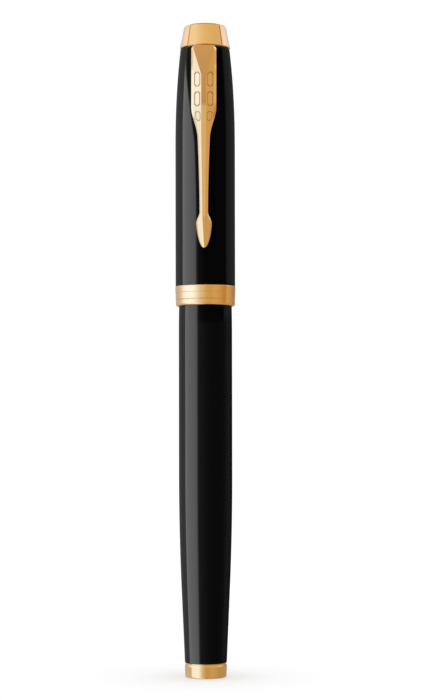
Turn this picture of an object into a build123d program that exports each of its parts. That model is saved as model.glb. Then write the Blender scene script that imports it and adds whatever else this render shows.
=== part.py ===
from build123d import *

import os

# Capped rollerball pen, standing on the flat end of its barrel. Millimetres, +Z up the pen.
# The origin is the centre of the flat end, and the clip faces -Y.
# Lengths chain upwards from that end through the refill to the crown, and radii chain outwards
# from the refill to the cap, so a piece always follows the pieces that it fits.

# ---------------------------------------------------------------- driving sizes: refill
refill_length = 111.0
refill_radius = 3.0
refill_wall = 0.2
refill_flange = 1.0
refill_neck_radius = 2.0
refill_neck_length = 10.0
refill_neck_taper = 0.4
refill_nose_radius = 1.5
refill_nose_length = 3.35
refill_tip_length = 4.0
wick_radius = 0.5
wick_clearance = 0.1
reservoir_end_gap = 0.5
ball_radius = 0.35
ball_clearance = 0.015
ball_show = 0.2
socket_wall = 0.1
tip_base_radius = 1.15
tip_neck_radius = 0.8
tip_neck_rise = 0.7
tip_cone_length = 1.6
tip_seat_depth = 1.5
plug_flange = 1.6
plug_depth = 3.0

# ---------------------------------------------------------------- driving sizes: barrel end
end_cap_height = 2.76
end_cap_floor = 1.6
end_cap_taper = 0.1
end_cap_bevel = 0.12
end_cap_edge = 0.35
end_groove_height = 0.24
end_groove_depth = 0.2
end_spigot_length = 5.6
end_spigot_wall = 0.85
end_spigot_gap = 0.2
seat_thickness = 0.8
seat_post_radius = 1.6
seat_post_height = 1.5
spring_length = 8.0
spring_radius = 2.2
spring_wire_radius = 0.18
spring_turns = 5.5
spring_end_gap = 0.01

# ---------------------------------------------------------------- driving sizes: section
refill_clearance = 0.15
core_wall = 0.8
thread_depth = 0.4
thread_clearance = 0.15
thread_pitch = 0.8
thread_turns = 5.5
thread_lead_in = 1.3
thread_root_width = 0.46
thread_crest_width = 0.18
thread_side_clearance = 0.1
thread_spare_turns = 2
thread_sunk = 0.15
pilot_length = 1.5
core_shoulder_length = 2.0
core_shoulder_inset = 0.05
tip_reach = 2.9
nose_length = 6.5
nose_spigot_radius = 3.1
nose_step = 0.12
nose_bulge = 0.35
nose_edge_wall = 0.3
grip_length = 32.0
grip_wall = 0.85
grip_waist_drop = 0.38
grip_front_drop = 0.22
grip_edge = 0.2
clutch_ring_height = 0.9
clutch_ring_radial = 0.45
clutch_ring_proud = 0.2
clutch_ring_rise = 3.0
clutch_ring_edge = 0.18
clutch_ring_split = 1.0
clutch_ring_margin = 1.0

# ---------------------------------------------------------------- driving sizes: barrel
bushing_wall = 0.45
bushing_length = 8.2
bushing_neck_height = 0.7
bushing_neck_step = 0.1
counterbore_depth = 0.9
counterbore_clearance = 0.05
barrel_wall = 0.71
barrel_mouth_relief = 0.06
barrel_mouth_length = 6.7
barrel_end_drop = 1.22
barrel_taper_height = 43.0
barrel_arc_length = 24.0
barrel_edge = 0.2
trim_ring_height = 1.3
trim_ring_inset = 0.31
trim_ring_edge = 0.25

# ---------------------------------------------------------------- driving sizes: cap
cap_step = 0.67
cap_wall = 0.48
cap_taper_length = 21.1
cap_drop = 1.11
cap_top_wall = 0.42
cap_edge = min(0.35, 0.85 * cap_top_wall)
lip_overlap = 0.3
lip_depth = 0.8
lip_clearance = 0.15
band_height = 4.2
band_spigot_length = 4.0
band_spigot_wall = 0.3
band_proud = 0.05
band_lip_drop = 0.04
band_groove_depth = 0.1
band_lower_groove_rise = 1.3
band_upper_groove_rise = 2.8
band_groove_width = 0.18
band_edge = 0.35
band_top_edge = 0.04
liner_gap = 0.2
liner_clearance = 0.1
liner_nose_gap = 0.5
liner_cone_length = 5.15
liner_wall = 1.2
liner_end = 1.2
liner_tip_radius = 3.0
liner_mouth_chamfer = 0.15
detent_depth = 0.08
detent_spare = 0.4
tip_gap = 1.6
screw_head_gap = 0.6
screw_head_height = 1.3
screw_head_radius = 2.7
screw_radius = 1.5
screw_slot_width = 0.6
screw_slot_depth = 0.6
washer_thickness = 0.4
washer_radius = 3.0
cap_plug_height = 6.2
crown_seat_height = 0.6
crown_gap = 0.2
crown_height = 4.7
crown_overhang = 0.08
crown_taper = 0.88
crown_edge = 0.5
crown_base_edge = 0.08
crown_seat_gap = 0.05

# ---------------------------------------------------------------- driving sizes: clip
clip_half_width = 2.73
clip_thickness = 0.95
clip_root_thickness = 0.65
clip_root_half_width = 2.1
clip_hook_half_width = 1.5
clip_hook_depth = 1.25
clip_hook_thickness = 0.7
clip_hook_inset = 0.4
clip_hook_back_gap = 0.2
clip_slot_clearance = 0.15
clip_crown_gap = 0.1
clip_standoff = 2.07
clip_top_standoff = 2.08
clip_back_gap = 0.9
clip_length = 42.4
clip_plate_length = 13.3
clip_shoulder_length = 18.2
clip_stem_top_half_width = 1.37
clip_stem_end_half_width = 0.88
clip_pad_half_width = 1.62
clip_pad_length = 7.9
clip_pad_shoulder = 2.3
clip_contact_gap = 0.05
clip_contact_rise = 1.8
clip_tip_thickness = 0.75
clip_corner = 0.5
clip_root_bend = 0.8
clip_plate_bend = 60.0
clip_pad_bend = 12.0

# ---------------------------------------------------------------- shared clearance and edges
running_gap = 0.05
small_chamfer = 0.3

# ---------------------------------------------------------------- heights, from the end upwards
barrel_base = end_cap_height + end_groove_height
refill_tail = end_cap_floor + seat_thickness + spring_length
ball_top = refill_tail + refill_length
nose_front = ball_top - tip_reach
grip_front = nose_front - nose_length
grip_rear = grip_front - grip_length
mouth = grip_rear - trim_ring_height
lip = mouth - lip_overlap
band_top = lip + band_height
liner_base = grip_rear + liner_gap
liner_top = ball_top + tip_gap + liner_end
screw_head_base = liner_top + screw_head_gap
washer_base = screw_head_base + screw_head_height
cap_plug_base = washer_base + washer_thickness
cap_plug_top = cap_plug_base + cap_plug_height
crown_base = cap_plug_top + crown_seat_height
crown_top = crown_base + crown_height
cap_shell_top = crown_base - crown_gap
cap_taper_base = cap_shell_top - cap_taper_length
refill_nose_top = ball_top - refill_tip_length
refill_neck_top = refill_nose_top - refill_nose_length
refill_shoulder = refill_neck_top - refill_neck_length
thread_base = mouth - thread_lead_in - thread_turns * thread_pitch

# ---------------------------------------------------------------- radii, from the refill outwards
core_bore = refill_radius + refill_clearance
thread_root = core_bore + core_wall
thread_crest = thread_root + thread_depth
bushing_bore = thread_root + thread_clearance
bushing_groove = thread_crest + thread_clearance
bushing_radius = bushing_groove + bushing_wall
barrel_radius = bushing_radius + barrel_wall
barrel_mouth_radius = barrel_radius - barrel_mouth_relief
barrel_end_radius = barrel_radius - barrel_end_drop
end_bore = barrel_end_radius - barrel_wall
grip_bore = thread_root + running_gap
grip_rear_radius = grip_bore + grip_wall
clutch_groove = grip_rear_radius + clutch_ring_proud - clutch_ring_radial - running_gap
clutch_ring_radius = grip_rear_radius + clutch_ring_proud
trim_ring_radius = barrel_radius - trim_ring_inset
cap_radius = barrel_radius + cap_step
cap_bore = cap_radius - cap_wall
band_bore = barrel_mouth_radius + lip_clearance
band_spigot_bore = cap_bore - band_spigot_wall
liner_bore = clutch_ring_radius + liner_clearance
liner_radius = band_spigot_bore - running_gap
cap_top_radius = cap_radius - cap_drop
cap_top_bore = cap_top_radius - cap_top_wall
crown_base_radius = cap_top_radius + crown_overhang
crown_top_radius = crown_base_radius - crown_taper

# ---------------------------------------------------------------- clip places
clip_top = cap_plug_top - clip_crown_gap
clip_root_base = clip_top - clip_root_thickness
clip_tip = clip_top - clip_length
clip_face = cap_radius + clip_standoff
clip_top_face = cap_top_radius + clip_top_standoff
slot_half_width = clip_root_half_width + clip_slot_clearance
slot_base = clip_root_base - clip_slot_clearance
hook_inner = cap_top_bore - clip_hook_inset - clip_hook_thickness


os.makedirs("parts", exist_ok=True)


def half_section(*points):
    """A closed outline of (radius, height) points, ready to be revolved about Z."""
    with BuildSketch(Plane.XZ) as section:
        with BuildLine():
            Polyline(*points, close=True)
        make_face()
    return section.sketch


def helical_tooth(depth, root_width, crest_width, turns, base):
    """A tooth of trapezoid section wound about Z, sunk a little below the thread's root."""
    flank = (root_width - crest_width) / 2 * thread_sunk / depth
    with BuildPart() as tooth:
        with BuildLine() as path:
            Helix(thread_pitch, turns * thread_pitch, thread_root, center=(0, 0, base))
        with BuildSketch(Plane(path.line @ 0, x_dir=(1, 0, 0), z_dir=path.line % 0)):
            with BuildLine():
                Polyline(
                    (-thread_sunk, -root_width / 2 - flank),
                    (depth, -crest_width / 2),
                    (depth, crest_width / 2),
                    (-thread_sunk, root_width / 2 + flank),
                    close=True,
                )
            make_face()
        sweep(path=path.line, is_frenet=True)
    return tooth.part


def cap_bore_at(height):
    """Radius of the cap shell's bore, straight up to the taper and conical from there to the plug."""
    rise = max(height - cap_taper_base, 0)
    return cap_bore - (cap_bore - cap_top_bore) * rise / (cap_plug_base - cap_taper_base)


def turned_edges(piece, height):
    """The round edges of a turned piece at one height, from the smallest to the largest."""
    at_height = piece.edges().filter_by(GeomType.CIRCLE).filter_by_position(Axis.Z, height, height)
    return at_height.sort_by(SortBy.RADIUS)


def outer_edges(piece):
    """The largest round edges of a turned piece."""
    return piece.edges().filter_by(GeomType.CIRCLE).group_by(SortBy.RADIUS)[-1]


def nearest(sketch, across, height):
    """The corner of a sketch that lies nearest to a point given in the sketch's own plane."""
    return sketch.vertices().sort_by_distance((across, height, 0))[0]


# ================================================================ barrel
# Lacquered brass tube: a straight grip length, a long arc and a straight taper to the end.
arc_end = barrel_taper_height - barrel_arc_length
arc_drop = barrel_end_drop * barrel_arc_length / (barrel_arc_length + 2 * (arc_end - barrel_base))
arc_end_radius = barrel_radius - arc_drop
straight_top = mouth - barrel_mouth_length
end_bore_top = barrel_base + end_spigot_length + end_spigot_gap
with BuildPart() as barrel_shell:
    with BuildSketch(Plane.XZ):
        with BuildLine():
            Polyline((end_bore, barrel_base), (barrel_end_radius, barrel_base), (arc_end_radius, arc_end))
            TangentArc((barrel_radius, barrel_taper_height), (arc_end_radius, arc_end), tangent=(0, -1))
            Line((barrel_radius, barrel_taper_height), (barrel_radius, straight_top))
            TangentArc((barrel_radius, straight_top), (barrel_mouth_radius, mouth), tangent=(0, 1))
            Polyline(
                (barrel_mouth_radius, mouth),
                (bushing_radius, mouth),
                (bushing_radius, barrel_taper_height),
                (end_bore, end_bore_top),
                (end_bore, barrel_base),
            )
        make_face()
    revolve(axis=Axis.Z)
    fillet(turned_edges(barrel_shell, barrel_base)[-1], barrel_edge)
    fillet(turned_edges(barrel_shell, mouth)[-1], barrel_edge)
barrel_shell.part.label = "barrel_shell"
export_step(barrel_shell.part, "parts/barrel_shell.step")

# Gilt end piece: the visible foot, a dark groove above it and a cup that is pressed into the tube.
end_cup_radius = end_bore - end_spigot_wall
end_spigot_top = barrel_base + end_spigot_length
end_groove_radius = barrel_end_radius - end_groove_depth
with BuildPart() as barrel_end_cap:
    revolve(
        half_section(
            (0, 0),
            (barrel_end_radius - end_cap_taper, 0),
            (barrel_end_radius, end_cap_height),
            (end_groove_radius, end_cap_height),
            (end_groove_radius, barrel_base),
            (end_bore, barrel_base),
            (end_bore, end_spigot_top),
            (end_cup_radius, end_spigot_top),
            (end_cup_radius, end_cap_floor),
            (0, end_cap_floor),
        ),
        axis=Axis.Z,
    )
    fillet(turned_edges(barrel_end_cap, 0), end_cap_edge)
    chamfer(turned_edges(barrel_end_cap, end_cap_height)[-1], end_cap_bevel)
    chamfer(turned_edges(barrel_end_cap, end_spigot_top)[-1], small_chamfer)
barrel_end_cap.part.label = "barrel_end_cap"
export_step(barrel_end_cap.part, "parts/barrel_end_cap.step")

# Plastic seat in the cup, with a post that centres the spring.
seat_top = end_cap_floor + seat_thickness
with BuildPart() as spring_seat:
    revolve(
        half_section(
            (0, end_cap_floor),
            (end_cup_radius - running_gap, end_cap_floor),
            (end_cup_radius - running_gap, seat_top),
            (seat_post_radius, seat_top),
            (seat_post_radius, seat_top + seat_post_height),
            (0, seat_top + seat_post_height),
        ),
        axis=Axis.Z,
    )
    chamfer(turned_edges(spring_seat, seat_top + seat_post_height), small_chamfer)
spring_seat.part.label = "spring_seat"
export_step(spring_seat.part, "parts/spring_seat.step")

# Compression spring that pushes the refill forwards.
coil_base = seat_top + spring_wire_radius + spring_end_gap
coil_rise = spring_length - 2 * (spring_wire_radius + spring_end_gap)
with BuildPart() as refill_spring:
    with BuildLine() as coil:
        Helix(coil_rise / spring_turns, coil_rise, spring_radius, center=(0, 0, coil_base))
    with BuildSketch(Plane(coil.line @ 0, x_dir=(1, 0, 0), z_dir=coil.line % 0)):
        Circle(spring_wire_radius)
    sweep(path=coil.line, is_frenet=True)
refill_spring.part.label = "refill_spring"
export_step(refill_spring.part, "parts/refill_spring.step")

# Brass bushing in the barrel's mouth: a female thread, a clear counterbore and a neck for the ring.
neck_radius = bushing_radius - bushing_neck_step
neck_top = mouth + bushing_neck_height
counterbore = bushing_groove + counterbore_clearance
counterbore_base = mouth - counterbore_depth
with BuildPart() as barrel_bushing:
    revolve(
        half_section(
            (bushing_bore, mouth - bushing_length),
            (bushing_radius, mouth - bushing_length),
            (bushing_radius, mouth),
            (neck_radius, mouth),
            (neck_radius, neck_top),
            (counterbore, neck_top),
            (counterbore, counterbore_base),
            (bushing_bore, counterbore_base),
        ),
        axis=Axis.Z,
    )
    add(
        helical_tooth(
            bushing_groove - thread_root,
            thread_root_width + 2 * thread_side_clearance,
            thread_crest_width + 2 * thread_side_clearance,
            thread_turns + thread_spare_turns,
            thread_base - thread_pitch,
        ),
        mode=Mode.SUBTRACT,
    )
barrel_bushing.part.label = "barrel_bushing"
export_step(barrel_bushing.part, "parts/barrel_bushing.step")

# Gilt ring trapped loosely between the barrel's mouth and the grip.
ring_bore = neck_radius + running_gap
with BuildPart() as trim_ring:
    revolve(
        half_section(
            (ring_bore, mouth + running_gap / 2),
            (trim_ring_radius, mouth + running_gap / 2),
            (trim_ring_radius, grip_rear - running_gap / 2),
            (ring_bore, grip_rear - running_gap / 2),
        ),
        axis=Axis.Z,
    )
    fillet(outer_edges(trim_ring), trim_ring_edge)
trim_ring.part.label = "trim_ring"
export_step(trim_ring.part, "parts/trim_ring.step")

# ================================================================ section
# Brass core: a threaded tail, a shoulder, a seat for the grip and a spigot for the nose cone.
core_base = thread_base - pilot_length
core_front = refill_neck_top + refill_neck_taper + running_gap
core_neck_bore = refill_neck_radius + refill_clearance
core_shoulder = thread_crest - core_shoulder_inset
refill_stop = refill_shoulder + running_gap
with BuildPart() as section_core:
    revolve(
        half_section(
            (core_bore, core_base),
            (thread_root, core_base),
            (thread_root, grip_rear - core_shoulder_length),
            (core_shoulder, grip_rear - core_shoulder_length),
            (core_shoulder, grip_rear),
            (thread_root, grip_rear),
            (thread_root, grip_front),
            (nose_spigot_radius, grip_front),
            (nose_spigot_radius, core_front),
            (core_neck_bore, core_front),
            (core_neck_bore, refill_stop),
            (core_bore, refill_stop),
        ),
        axis=Axis.Z,
    )
    chamfer(turned_edges(section_core, core_base)[-1], small_chamfer)
    add(helical_tooth(thread_depth, thread_root_width, thread_crest_width, thread_turns, thread_base))
section_core.part.label = "section_core"
export_step(section_core.part, "parts/section_core.step")

# Moulded grip, waisted towards the front, with a groove for the clutch ring.
clutch_base = grip_rear + clutch_ring_rise
clutch_top = clutch_base + clutch_ring_height
waist_top = clutch_top + clutch_ring_margin
waist_middle = grip_front - (grip_front - waist_top) / 3
grip_waist_radius = grip_rear_radius - grip_waist_drop
grip_front_radius = grip_rear_radius - grip_front_drop
with BuildPart() as grip_sleeve:
    with BuildSketch(Plane.XZ):
        with BuildLine():
            Polyline(
                (grip_front_radius, grip_front),
                (grip_bore, grip_front),
                (grip_bore, grip_rear),
                (grip_rear_radius, grip_rear),
                (grip_rear_radius, clutch_base - running_gap),
                (clutch_groove, clutch_base - running_gap),
                (clutch_groove, clutch_top + running_gap),
                (grip_rear_radius, clutch_top + running_gap),
                (grip_rear_radius, waist_top),
            )
            ThreePointArc(
                (grip_rear_radius, waist_top),
                (grip_waist_radius, waist_middle),
                (grip_front_radius, grip_front),
            )
        make_face()
    revolve(axis=Axis.Z)
    fillet(turned_edges(grip_sleeve, grip_front)[-1], grip_edge)
    fillet(turned_edges(grip_sleeve, grip_rear)[-1], grip_edge)
grip_sleeve.part.label = "grip_sleeve"
export_step(grip_sleeve.part, "parts/grip_sleeve.step")

# Gilt nose cone, pressed on the core, with a clear hole for the refill's nose.
nose_bore = refill_nose_radius + 2 * running_gap
nose_edge_radius = nose_bore + nose_edge_wall
nose_base_radius = grip_front_radius - nose_step
nose_middle_radius = (nose_base_radius + nose_edge_radius) / 2 + nose_bulge
with BuildPart() as nose_cone:
    with BuildSketch(Plane.XZ):
        with BuildLine():
            Polyline(
                (nose_edge_radius, nose_front),
                (nose_bore, nose_front),
                (nose_bore, core_front),
                (nose_spigot_radius, core_front),
                (nose_spigot_radius, grip_front),
                (nose_base_radius, grip_front),
            )
            ThreePointArc(
                (nose_base_radius, grip_front),
                (nose_middle_radius, (grip_front + nose_front) / 2),
                (nose_edge_radius, nose_front),
            )
        make_face()
    revolve(axis=Axis.Z)
nose_cone.part.label = "nose_cone"
export_step(nose_cone.part, "parts/nose_cone.step")

# Split spring ring in the grip's groove, which the cap's liner clicks over.
with BuildPart() as clutch_ring:
    revolve(
        half_section(
            (clutch_groove + running_gap, clutch_base),
            (clutch_ring_radius, clutch_base),
            (clutch_ring_radius, clutch_top),
            (clutch_groove + running_gap, clutch_top),
        ),
        axis=Axis.Z,
    )
    fillet(outer_edges(clutch_ring), clutch_ring_edge)
    with BuildSketch(Plane.XY.offset(clutch_base)):
        with Locations((0, clutch_ring_radius)):
            Rectangle(clutch_ring_split, clutch_ring_radius)
    extrude(amount=clutch_ring_height, mode=Mode.SUBTRACT)
clutch_ring.part.label = "clutch_ring"
export_step(clutch_ring.part, "parts/clutch_ring.step")

# ================================================================ refill
tube_bore = refill_radius - refill_wall
tube_base = refill_tail + plug_flange
tube_top = refill_shoulder - refill_flange
plug_top = tube_base + plug_depth
nose_spigot_base = tube_top - plug_depth

# Metal ink tube.
with BuildPart() as refill_tube:
    revolve(
        half_section(
            (tube_bore, tube_base),
            (refill_radius, tube_base),
            (refill_radius, tube_top),
            (tube_bore, tube_top),
        ),
        axis=Axis.Z,
    )
refill_tube.part.label = "refill_tube"
export_step(refill_tube.part, "parts/refill_tube.step")

# Moulded plug that closes the tube's tail.
with BuildPart() as refill_end_plug:
    revolve(
        half_section(
            (0, refill_tail),
            (refill_radius, refill_tail),
            (refill_radius, tube_base),
            (tube_bore, tube_base),
            (tube_bore, plug_top),
            (0, plug_top),
        ),
        axis=Axis.Z,
    )
    chamfer(turned_edges(refill_end_plug, refill_tail), small_chamfer)
refill_end_plug.part.label = "refill_end_plug"
export_step(refill_end_plug.part, "parts/refill_end_plug.step")

# Moulded front of the refill: a spigot in the tube, a flange, a neck and a nose.
wick_bore = wick_radius + wick_clearance
tip_seat_base = refill_nose_top - tip_seat_depth
with BuildPart() as refill_nose:
    revolve(
        half_section(
            (wick_bore, nose_spigot_base),
            (tube_bore, nose_spigot_base),
            (tube_bore, tube_top),
            (refill_radius, tube_top),
            (refill_radius, refill_shoulder),
            (refill_neck_radius, refill_shoulder),
            (refill_neck_radius, refill_neck_top),
            (refill_nose_radius, refill_neck_top + refill_neck_taper),
            (refill_nose_radius, refill_nose_top),
            (tip_base_radius, refill_nose_top),
            (tip_base_radius, tip_seat_base),
            (wick_bore, tip_seat_base),
        ),
        axis=Axis.Z,
    )
refill_nose.part.label = "refill_nose"
export_step(refill_nose.part, "parts/refill_nose.step")

# Fibre core that holds the ink.
reservoir_top = nose_spigot_base - reservoir_end_gap
with BuildPart() as ink_reservoir:
    with BuildSketch(Plane.XY.offset(plug_top + reservoir_end_gap)):
        Circle(tube_bore - running_gap)
    extrude(amount=reservoir_top - plug_top - reservoir_end_gap)
ink_reservoir.part.label = "ink_reservoir"
export_step(ink_reservoir.part, "parts/ink_reservoir.step")

# Fibre wick that feeds the ball from the core.
with BuildPart() as feed_wick:
    with BuildSketch(Plane.XY.offset(reservoir_top)):
        Circle(wick_radius)
    extrude(amount=tip_seat_base - reservoir_top)
feed_wick.part.label = "feed_wick"
export_step(feed_wick.part, "parts/feed_wick.step")

# Nickel-silver tip: a seated base, a neck and a cone with a round socket swaged over the ball.
ball_centre = ball_top - ball_radius
socket_rim = ball_top - ball_show
socket_radius = ball_radius + ball_clearance
rim_radius = (socket_radius**2 - (socket_rim - ball_centre) ** 2) ** 0.5
tip_base_top = refill_nose_top + small_chamfer
with BuildPart() as tip_housing:
    revolve(
        half_section(
            (0, tip_seat_base),
            (tip_base_radius, tip_seat_base),
            (tip_base_radius, tip_base_top),
            (tip_neck_radius, refill_nose_top + tip_neck_rise),
            (tip_neck_radius, ball_centre - tip_cone_length),
            (rim_radius + socket_wall, socket_rim),
            (0, socket_rim),
        ),
        axis=Axis.Z,
    )
    with BuildSketch(Plane.XY.offset(tip_seat_base)):
        Circle(ball_radius / 2)
    extrude(amount=ball_centre - tip_seat_base, mode=Mode.SUBTRACT)
    with Locations((0, 0, ball_centre)):
        Sphere(socket_radius, mode=Mode.SUBTRACT)
tip_housing.part.label = "tip_housing"
export_step(tip_housing.part, "parts/tip_housing.step")

# Writing ball.
with BuildPart() as writing_ball:
    with Locations((0, 0, ball_centre)):
        Sphere(ball_radius)
writing_ball.part.label = "writing_ball"
export_step(writing_ball.part, "parts/writing_ball.step")

# ================================================================ cap
# Gilt band at the cap's lip: two turned grooves, a soft lower edge and a spigot in the shell.
spigot_top = band_top + band_spigot_length
band_lip_radius = cap_radius - band_lip_drop
lower_groove = lip + band_lower_groove_rise
upper_groove = lip + band_upper_groove_rise
with BuildPart() as cap_band:
    revolve(
        half_section(
            (band_bore, lip),
            (band_lip_radius, lip),
            (band_lip_radius, lower_groove),
            (cap_radius, lower_groove),
            (cap_radius, upper_groove),
            (cap_radius + band_proud, upper_groove),
            (cap_radius + band_proud, band_top),
            (cap_bore, band_top),
            (cap_bore, spigot_top),
            (band_spigot_bore, spigot_top),
            (band_spigot_bore, lip + lip_depth),
            (band_bore, lip + lip_depth),
        ),
        axis=Axis.Z,
    )
    for groove_height, width in ((lower_groove, band_groove_width), (upper_groove, band_groove_width / 2)):
        with BuildSketch(Plane.XZ) as groove:
            with Locations((cap_radius, groove_height)):
                Rectangle(2 * band_groove_depth, width)
        revolve(groove.sketch, axis=Axis.Z, mode=Mode.SUBTRACT)
    fillet(turned_edges(cap_band, lip)[-1], band_edge)
    fillet(turned_edges(cap_band, band_top)[-1], band_top_edge)
cap_band.part.label = "cap_band"
export_step(cap_band.part, "parts/cap_band.step")

# Lacquered brass shell, straight above the band and arched in to the crown, notched for the clip.
with BuildPart() as cap_shell:
    with BuildSketch(Plane.XZ):
        with BuildLine():
            Polyline(
                (cap_top_radius, cap_shell_top),
                (cap_top_bore, cap_shell_top),
                (cap_top_bore, cap_plug_base),
                (cap_bore, cap_taper_base),
                (cap_bore, band_top),
                (cap_radius, band_top),
                (cap_radius, cap_taper_base),
            )
            TangentArc((cap_radius, cap_taper_base), (cap_top_radius, cap_shell_top), tangent=(0, 1))
        make_face()
    revolve(axis=Axis.Z)
    fillet(turned_edges(cap_shell, cap_shell_top)[-1], cap_edge)
    with BuildSketch(Plane.XY.offset(slot_base)):
        Rectangle(2 * slot_half_width, cap_radius, align=(Align.CENTER, Align.MAX))
    extrude(amount=cap_shell_top - slot_base, mode=Mode.SUBTRACT)
cap_shell.part.label = "cap_shell"
export_step(cap_shell.part, "parts/cap_shell.step")

# Moulded inner cap: it grips the clutch ring and closes round the nose so that the tip stays wet.
liner_step = spigot_top + liner_gap
liner_cone_base = grip_front + liner_nose_gap
liner_cone_top = liner_cone_base + liner_cone_length
liner_shoulder = liner_cone_base + liner_end
detent_height = clutch_ring_height + detent_spare
with BuildPart() as cap_liner:
    revolve(
        half_section(
            (liner_bore, liner_base),
            (liner_radius, liner_base),
            (liner_radius, liner_step),
            (cap_bore, liner_step),
            (cap_bore, min(cap_taper_base, liner_cone_base)),
            (cap_bore_at(liner_shoulder) - running_gap, liner_shoulder),
            (liner_tip_radius + liner_wall, liner_cone_top + liner_end),
            (liner_tip_radius + liner_wall, liner_top),
            (0, liner_top),
            (0, liner_top - liner_end),
            (liner_tip_radius, liner_top - liner_end),
            (liner_tip_radius, liner_cone_top),
            (liner_bore, liner_cone_base),
        ),
        axis=Axis.Z,
    )
    with BuildSketch(Plane.XZ) as detent:
        with Locations((liner_bore, (clutch_base + clutch_top) / 2)):
            Rectangle(2 * detent_depth, detent_height)
    revolve(detent.sketch, axis=Axis.Z, mode=Mode.SUBTRACT)
    chamfer(turned_edges(cap_liner, liner_base)[0], liner_mouth_chamfer)
cap_liner.part.label = "cap_liner"
export_step(cap_liner.part, "parts/cap_liner.step")

# Brass plug in the top of the shell, with a screw hole, a slot for the clip and a pocket for its hook.
screw_hole = screw_radius + running_gap
pocket_base = clip_root_base - clip_hook_depth - 2 * clip_slot_clearance
with BuildPart() as cap_plug:
    revolve(
        half_section(
            (screw_hole, cap_plug_base),
            (cap_top_bore, cap_plug_base),
            (cap_top_bore, cap_plug_top),
            (screw_hole, cap_plug_top),
        ),
        axis=Axis.Z,
    )
    chamfer(turned_edges(cap_plug, cap_plug_base)[-1], small_chamfer)
    with BuildSketch(Plane.XY.offset(slot_base)):
        with Locations((0, clip_hook_inset - hook_inner)):
            Rectangle(2 * slot_half_width, cap_radius, align=(Align.CENTER, Align.MAX))
    extrude(amount=cap_plug_top - slot_base, mode=Mode.SUBTRACT)
    with BuildSketch(Plane.XY.offset(pocket_base)):
        with Locations((0, clip_hook_back_gap - hook_inner)):
            Rectangle(
                2 * (clip_hook_half_width + clip_slot_clearance), cap_radius, align=(Align.CENTER, Align.MAX)
            )
    extrude(amount=cap_plug_top - pocket_base, mode=Mode.SUBTRACT)
cap_plug.part.label = "cap_plug"
export_step(cap_plug.part, "parts/cap_plug.step")

# Gilt crown: a plain tapered button on a low seat, with a blind hole for the screw.
screw_top = crown_base + crown_height / 2
with BuildPart() as cap_crown:
    revolve(
        half_section(
            (0, crown_top),
            (0, screw_top + running_gap),
            (screw_radius, screw_top + running_gap),
            (screw_radius, cap_plug_top),
            (cap_top_bore - crown_seat_gap, cap_plug_top),
            (cap_top_bore - crown_seat_gap, crown_base),
            (crown_base_radius, crown_base),
            (crown_top_radius, crown_top),
        ),
        axis=Axis.Z,
    )
    fillet(turned_edges(cap_crown, crown_top), crown_edge)
    fillet(turned_edges(cap_crown, crown_base)[-1], crown_base_edge)
cap_crown.part.label = "cap_crown"
export_step(cap_crown.part, "parts/cap_crown.step")

# Slotted screw from inside the cap, which holds the plug and crown together.
with BuildPart() as crown_screw:
    revolve(
        half_section(
            (0, screw_head_base),
            (screw_head_radius, screw_head_base),
            (screw_head_radius, washer_base),
            (screw_radius, washer_base),
            (screw_radius, screw_top),
            (0, screw_top),
        ),
        axis=Axis.Z,
    )
    fillet(turned_edges(crown_screw, screw_head_base), small_chamfer)
    with BuildSketch(Plane.XY.offset(screw_head_base)):
        Rectangle(screw_slot_width, 2 * screw_head_radius)
    extrude(amount=screw_slot_depth, mode=Mode.SUBTRACT)
crown_screw.part.label = "crown_screw"
export_step(crown_screw.part, "parts/crown_screw.step")

# Plain washer under the screw's head.
with BuildPart() as crown_washer:
    with BuildSketch(Plane.XY.offset(washer_base)):
        Circle(washer_radius)
        Circle(screw_hole, mode=Mode.SUBTRACT)
    extrude(amount=washer_thickness)
crown_washer.part.label = "crown_washer"
export_step(crown_washer.part, "parts/crown_washer.step")

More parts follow.
